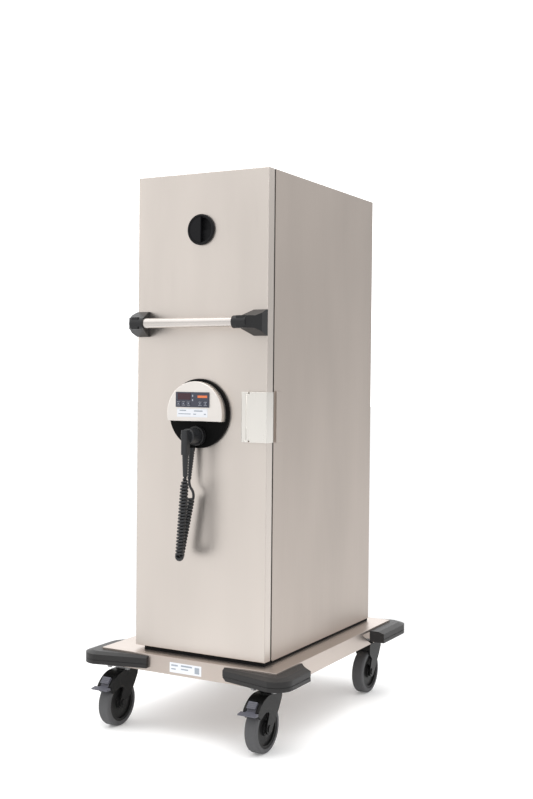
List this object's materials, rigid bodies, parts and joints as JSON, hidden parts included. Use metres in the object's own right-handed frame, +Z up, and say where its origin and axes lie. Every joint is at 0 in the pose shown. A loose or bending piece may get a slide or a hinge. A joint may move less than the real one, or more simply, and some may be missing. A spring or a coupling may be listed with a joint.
{
  "type": "insulated food carrier",
  "caption": "Tall stainless insulated food carrier on swivel casters: bumper platform, hinged door with bar handle, latch, vent, heating module and curly cord.",
  "frame": {"origin": "on the floor under the centre of the carrier's box", "axes": "+X to the carrier's right seen from the front, +Y from the door to the back, +Z up"},
  "size_m": [0.624, 0.8404, 1.465],
  "materials": {
    "brushed_stainless": "fine brushed stainless sheet",
    "stainless_tray": "satin stainless sheet",
    "zinc_plated": "zinc plated pressed steel",
    "bolt_steel": "zinc plated bolts",
    "foam": "cream polyurethane foam",
    "dark_rubber": "matt black",
    "grey_rubber": "matt dark grey tread",
    "black_plastic": "fine grained black",
    "grey_plastic": "grey pedals",
    "panel_film": "dark blue-grey key film",
    "key_film": "raised film key",
    "display_red": "dark red display window",
    "cord_jacket": "dark grey cord jacket"
  },
  "bodies": {
    "carrier": {"platform_tray": "stainless_tray", "crossmember_front": "stainless_tray", "crossmember_rear": "stainless_tray", "bumper_front_left": "dark_rubber", "bumper_front_right": "dark_rubber", "bumper_rear_left": "dark_rubber", "bumper_rear_right": "dark_rubber", "caster_plates": "zinc_plated", "caster_bolts": "bolt_steel", "outer_casing": "brushed_stainless", "inner_liner": "brushed_stainless", "insulation_foam": "foam", "runner_uprights": "brushed_stainless", "pan_ledges": "brushed_stainless", "base_seal": "dark_rubber", "latch_keeper": "brushed_stainless", "hinge_body_leaves": "brushed_stainless", "hinge_pins": "bolt_steel"},
    "door": {"door_skin": "brushed_stainless", "door_foam": "foam", "door_inner_panel": "brushed_stainless", "door_gasket": "dark_rubber", "handle_tube": "brushed_stainless", "handle_bracket_left": "black_plastic", "handle_bracket_right": "black_plastic", "latch_base": "brushed_stainless", "vent_bezel": "black_plastic", "module_housing": "black_plastic", "module_cap": "black_plastic", "control_panel": "panel_film", "display_window": "display_red", "module_inner_cover": "brushed_stainless", "parking_socket": "black_plastic", "hinge_door_leaves": "brushed_stainless", "plug": "black_plastic", "cord_relief": "cord_jacket", "cord_lead": "cord_jacket", "cord_coil": "cord_jacket"},
    "latch": {"latch_lever": "brushed_stainless"},
    "vent": {"vent_dial": "black_plastic"},
    "key_body_1": {"key_1": "key_film"},
    "key_body_2": {"key_2": "key_film"},
    "key_body_3": {"key_3": "key_film"},
    "key_body_4": {"key_4": "key_film"},
    "key_body_5": {"key_5": "key_film"},
    "swivel_fl": {"fork_fl": "zinc_plated"},
    "wheel_fl": {"tyre_fl": "grey_rubber", "hub_fl": "black_plastic"},
    "pedal_fl": {"brake_pedal_fl": "grey_plastic"},
    "swivel_fr": {"fork_fr": "zinc_plated"},
    "wheel_fr": {"tyre_fr": "grey_rubber", "hub_fr": "black_plastic"},
    "pedal_fr": {"brake_pedal_fr": "grey_plastic"},
    "swivel_rl": {"fork_rl": "zinc_plated"},
    "wheel_rl": {"tyre_rl": "grey_rubber", "hub_rl": "black_plastic"},
    "swivel_rr": {"fork_rr": "zinc_plated"},
    "wheel_rr": {"tyre_rr": "grey_rubber", "hub_rr": "black_plastic"}
  },
  "joints": [
    {"name": "door_hinge", "type": "hinge", "parent": "carrier", "child": "door", "pos_m": [-0.193, -0.27425, 0.84], "axis": [0, 0, -1], "range_deg": [0, 180]},
    {"name": "latch_lift", "type": "hinge", "parent": "door", "child": "latch", "pos_m": [0.158, -0.31375, 0.836], "axis": [0, 0, -1], "range_deg": [0, 70]},
    {"name": "vent_turn", "type": "hinge", "parent": "door", "child": "vent", "pos_m": [0.014, -0.30425, 1.318], "axis": [0, 1, 0], "range_deg": [0, 90]},
    {"name": "key_1_press", "type": "slide", "parent": "door", "child": "key_body_1", "axis": [0, 1, 0], "range_m": [0, 0.0008], "stiffness_N_per_m": 500},
    {"name": "key_2_press", "type": "slide", "parent": "door", "child": "key_body_2", "axis": [0, 1, 0], "range_m": [0, 0.0008], "stiffness_N_per_m": 500},
    {"name": "key_3_press", "type": "slide", "parent": "door", "child": "key_body_3", "axis": [0, 1, 0], "range_m": [0, 0.0008], "stiffness_N_per_m": 500},
    {"name": "key_4_press", "type": "slide", "parent": "door", "child": "key_body_4", "axis": [0, 1, 0], "range_m": [0, 0.0008], "stiffness_N_per_m": 500},
    {"name": "key_5_press", "type": "slide", "parent": "door", "child": "key_body_5", "axis": [0, 1, 0], "range_m": [0, 0.0008], "stiffness_N_per_m": 500},
    {"name": "swivel_fl", "type": "hinge", "parent": "carrier", "child": "swivel_fl", "pos_m": [-0.223, -0.30425, 0.138], "axis": [0, 0, 1], "continuous": true},
    {"name": "roll_fl", "type": "hinge", "parent": "swivel_fl", "child": "wheel_fl", "pos_m": [-0.223, -0.34025, 0.0625], "axis": [1, 0, 0], "continuous": true},
    {"name": "brake_fl", "type": "hinge", "parent": "swivel_fl", "child": "pedal_fl", "pos_m": [-0.223, -0.39025, 0.113], "axis": [1, 0, 0], "range_deg": [0, 18]},
    {"name": "swivel_fr", "type": "hinge", "parent": "carrier", "child": "swivel_fr", "pos_m": [0.223, -0.30425, 0.138], "axis": [0, 0, 1], "continuous": true},
    {"name": "roll_fr", "type": "hinge", "parent": "swivel_fr", "child": "wheel_fr", "pos_m": [0.223, -0.34025, 0.0625], "axis": [1, 0, 0], "continuous": true},
    {"name": "brake_fr", "type": "hinge", "parent": "swivel_fr", "child": "pedal_fr", "pos_m": [0.223, -0.39025, 0.113], "axis": [1, 0, 0], "range_deg": [0, 18]},
    {"name": "swivel_rl", "type": "hinge", "parent": "carrier", "child": "swivel_rl", "pos_m": [-0.223, 0.33175, 0.138], "axis": [0, 0, 1], "continuous": true},
    {"name": "roll_rl", "type": "hinge", "parent": "swivel_rl", "child": "wheel_rl", "pos_m": [-0.223, 0.29575, 0.0625], "axis": [1, 0, 0], "continuous": true},
    {"name": "swivel_rr", "type": "hinge", "parent": "carrier", "child": "swivel_rr", "pos_m": [0.223, 0.33175, 0.138], "axis": [0, 0, 1], "continuous": true},
    {"name": "roll_rr", "type": "hinge", "parent": "swivel_rr", "child": "wheel_rr", "pos_m": [0.223, 0.29575, 0.0625], "axis": [1, 0, 0], "continuous": true}
  ]
}
